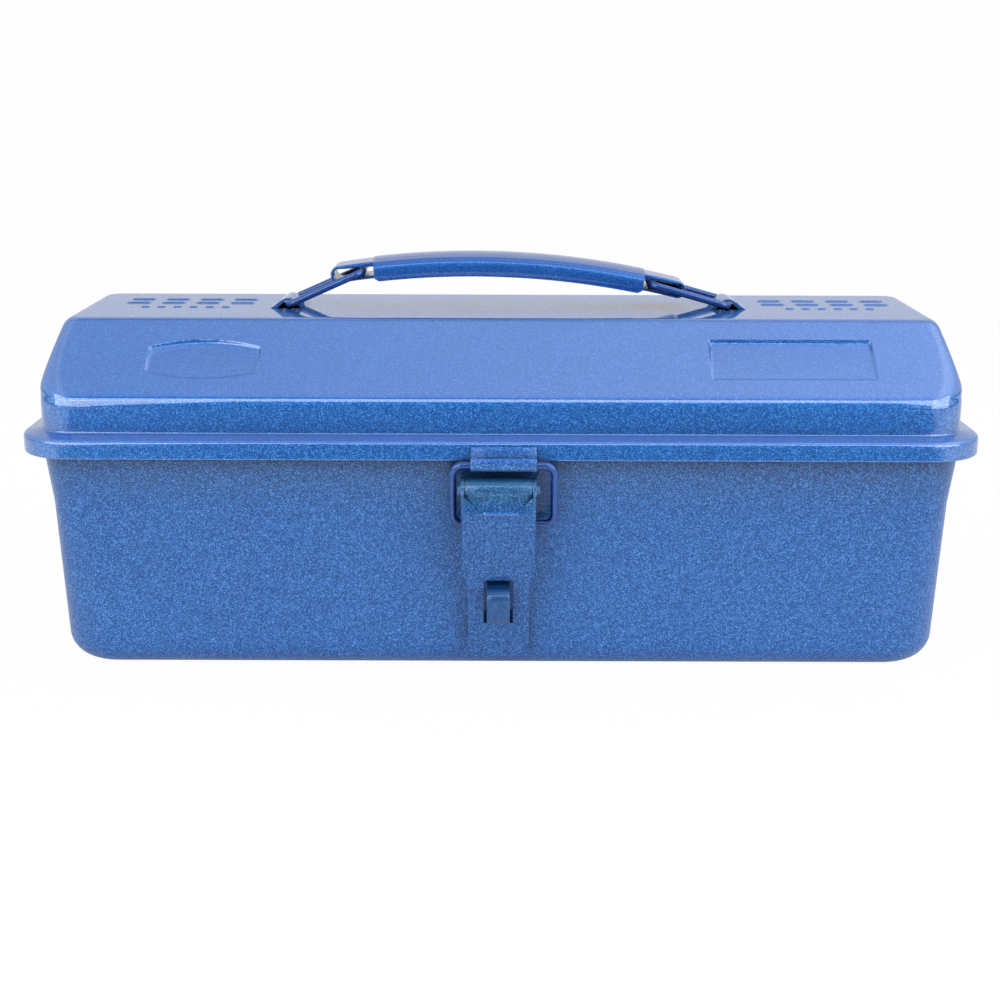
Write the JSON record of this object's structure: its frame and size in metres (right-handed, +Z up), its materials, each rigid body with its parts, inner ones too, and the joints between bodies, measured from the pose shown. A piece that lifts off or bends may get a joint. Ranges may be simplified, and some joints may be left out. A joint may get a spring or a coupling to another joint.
{
  "type": "metal toolbox",
  "caption": "Long pressed-steel toolbox with a pitched hinged lid, a channel grip on two wire links, and an over-centre front latch with a padlock staple.",
  "frame": {"origin": "middle of the flat underside, on the surface the toolbox stands on", "axes": "+X along the length to the right as seen from the latch, +Y towards the hinges at the back, +Z up"},
  "size_m": [0.359, 0.1635, 0.1527],
  "materials": {
    "body_paint": "semi-gloss fleck enamel",
    "lid_paint": "gloss fleck enamel",
    "latch_paint": "semi-gloss fleck enamel",
    "wire_paint": "gloss enamel",
    "pin_paint": "thin enamel over steel"
  },
  "bodies": {
    "body": {"body_shell": "body_paint", "latch_base": "latch_paint", "latch_rivets": "latch_paint", "latch_pin": "pin_paint", "padlock_staple": "latch_paint", "hinge_body_leaf_left": "latch_paint", "hinge_body_leaf_right": "latch_paint", "hinge_pin_left": "pin_paint", "hinge_pin_right": "pin_paint", "hinge_rivets": "latch_paint"},
    "lid": {"lid_shell": "lid_paint", "latch_keeper": "latch_paint", "hinge_lid_leaf_left": "latch_paint", "hinge_lid_leaf_right": "latch_paint"},
    "lever": {"latch_lever": "latch_paint"},
    "bail": {"latch_bail": "wire_paint"},
    "grip": {"handle_grip": "lid_paint"},
    "link_left": {"handle_link_left": "wire_paint"},
    "link_right": {"handle_link_right": "wire_paint"}
  },
  "joints": [
    {"name": "lid_hinge", "type": "hinge", "parent": "body", "child": "lid", "pos_m": [0, 0.0783, 0.0847], "axis": [-1, 0, 0], "range_deg": [0, 105]},
    {"name": "lever_swing", "type": "hinge", "parent": "body", "child": "lever", "pos_m": [-0.0008, -0.07589, 0.074], "axis": [-1, 0, 0], "range_deg": [0, 80]},
    {"name": "bail_swing", "type": "hinge", "parent": "lever", "child": "bail", "pos_m": [0.001, -0.07089, 0.0598], "axis": [1, 0, 0], "range_deg": [0, 146]},
    {"name": "handle_lift", "type": "slide", "parent": "lid", "child": "grip", "axis": [0, 0, 1], "range_m": [0, 0.012]},
    {"name": "link_left_swing", "type": "hinge", "parent": "lid", "child": "link_left", "pos_m": [-0.0846, 0, 0.1323], "axis": [0, -1, 0], "range_deg": [0, 24]},
    {"name": "link_right_swing", "type": "hinge", "parent": "lid", "child": "link_right", "pos_m": [0.0902, 0, 0.1323], "axis": [0, 1, 0], "range_deg": [0, 21.5]}
  ],
  "couplings": [
    {"joint": "bail_swing", "follows": "lever_swing", "ratio": 1.82},
    {"joint": "link_left_swing", "follows": "handle_lift", "rad_per_m": 34.77},
    {"joint": "link_right_swing", "follows": "handle_lift", "rad_per_m": 31.21}
  ]
}
